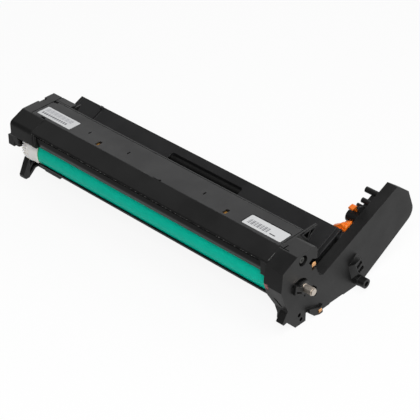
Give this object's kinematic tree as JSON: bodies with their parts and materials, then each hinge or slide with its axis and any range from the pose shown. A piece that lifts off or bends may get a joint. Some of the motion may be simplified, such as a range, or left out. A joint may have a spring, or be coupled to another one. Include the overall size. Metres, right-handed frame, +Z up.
{
  "type": "printer drum unit",
  "caption": "Long moulded unit with a green photoconductor drum along its open front, grey top cover, sloping rear deck with a grip slot, and a gear arm at its drive end.",
  "frame": {"origin": "drum axis at the drive side's outer face", "axes": "+X along the drum axis out of the drive side, +Y to the rear, +Z up"},
  "size_m": [0.296, 0.1431, 0.0648],
  "materials": {
    "frame_black": "fine moulded texture, black",
    "cover_grey": "fine moulded texture, dark grey",
    "end_cap_grey": "fine moulded texture, charcoal grey",
    "shield_black": "smooth, black",
    "photoconductor": "glossy green coating on an aluminium tube",
    "white_acetal": "smooth moulded, white",
    "gear_acetal": "moulded, off-white",
    "gear_black": "moulded, black",
    "shaft_steel": "turned and ground",
    "sheet_steel": "zinc plated sheet",
    "screw_steel": "zinc plated",
    "roller_rubber": "smooth conductive rubber",
    "blade_rubber": "translucent brown polyurethane",
    "copper": "sprung contact sheet",
    "strip_brass": "thin sheet",
    "orange_plastic": "smooth moulded, orange",
    "seal_foam": "light grey-brown film",
    "felt_red": "dark red felt",
    "bush_black": "moulded bearing plastic",
    "spring_steel": "wire"
  },
  "bodies": {
    "housing": {"shaft_bush_left": "bush_black", "shaft_bush_right": "bush_black", "main_frame": "frame_black", "top_cover": "cover_grey", "front_cover": "frame_black", "front_shield": "shield_black", "drum_seal": "seal_foam", "lower_guard": "shield_black", "rear_deck": "frame_black", "deck_end_cover": "frame_black", "left_end_cap": "end_cap_grey", "right_end_cap": "end_cap_grey", "arm_inner_cover": "frame_black", "charge_bearing_left": "white_acetal", "charge_bearing_right": "white_acetal", "charge_spring_left": "spring_steel", "charge_spring_right": "spring_steel", "cleaning_blade": "blade_rubber", "blade_bracket": "sheet_steel", "grip_bar": "shaft_steel", "brass_strip": "strip_brass", "upper_contact": "copper", "lower_contact": "copper", "end_seal": "felt_red", "ground_clip": "sheet_steel", "screws": "screw_steel"},
    "drum": {"opc_drum": "photoconductor", "drum_flange_left": "white_acetal", "drum_flange_right": "white_acetal", "drum_gear": "gear_black", "drum_shaft": "shaft_steel"},
    "charge_roller": {"charge_roller": "roller_rubber", "charge_roller_core": "shaft_steel"},
    "idler_1": {"idler_gear_1": "gear_acetal"},
    "idler_2": {"idler_gear_2": "gear_acetal"},
    "idler_3": {"idler_gear_3": "gear_acetal"},
    "output": {"output_coupling": "gear_acetal"},
    "waste_auger": {"waste_auger": "bush_black", "auger_gear": "gear_acetal"},
    "lever": {"lock_lever": "orange_plastic"}
  },
  "joints": [
    {"name": "drum_spin", "type": "hinge", "parent": "housing", "child": "drum", "pos_m": [0, 0, 0], "axis": [1, 0, 0], "continuous": true},
    {"name": "charge_roller_spin", "type": "hinge", "parent": "housing", "child": "charge_roller", "pos_m": [0, -0.00694, 0.01908], "axis": [1, 0, 0], "continuous": true},
    {"name": "idler_1_spin", "type": "hinge", "parent": "housing", "child": "idler_1", "pos_m": [0, 0.01554, -0.01449], "axis": [1, 0, 0], "continuous": true},
    {"name": "idler_2_spin", "type": "hinge", "parent": "housing", "child": "idler_2", "pos_m": [0, 0.03906, -0.01119], "axis": [1, 0, 0], "continuous": true},
    {"name": "idler_3_spin", "type": "hinge", "parent": "housing", "child": "idler_3", "pos_m": [0, 0.06683, -0.00375], "axis": [1, 0, 0], "continuous": true},
    {"name": "output_spin", "type": "hinge", "parent": "housing", "child": "output", "pos_m": [0, 0.09233, 0.00656], "axis": [1, 0, 0], "continuous": true},
    {"name": "waste_auger_spin", "type": "hinge", "parent": "housing", "child": "waste_auger", "pos_m": [0, 0.01445, 0.01605], "axis": [1, 0, 0], "continuous": true},
    {"name": "lock_lever_turn", "type": "hinge", "parent": "housing", "child": "lever", "pos_m": [-0.01325, 0.0695, 0.01602], "axis": [1, 0, 0], "range_deg": [-20, 0]}
  ],
  "couplings": [
    {"joint": "charge_roller_spin", "follows": "drum_spin", "ratio": -3},
    {"joint": "idler_1_spin", "follows": "drum_spin", "ratio": -1.125},
    {"joint": "idler_2_spin", "follows": "drum_spin", "ratio": 0.81818},
    {"joint": "idler_3_spin", "follows": "drum_spin", "ratio": -0.75},
    {"joint": "output_spin", "follows": "drum_spin", "ratio": 0.9},
    {"joint": "waste_auger_spin", "follows": "drum_spin", "ratio": -2.375}
  ]
}
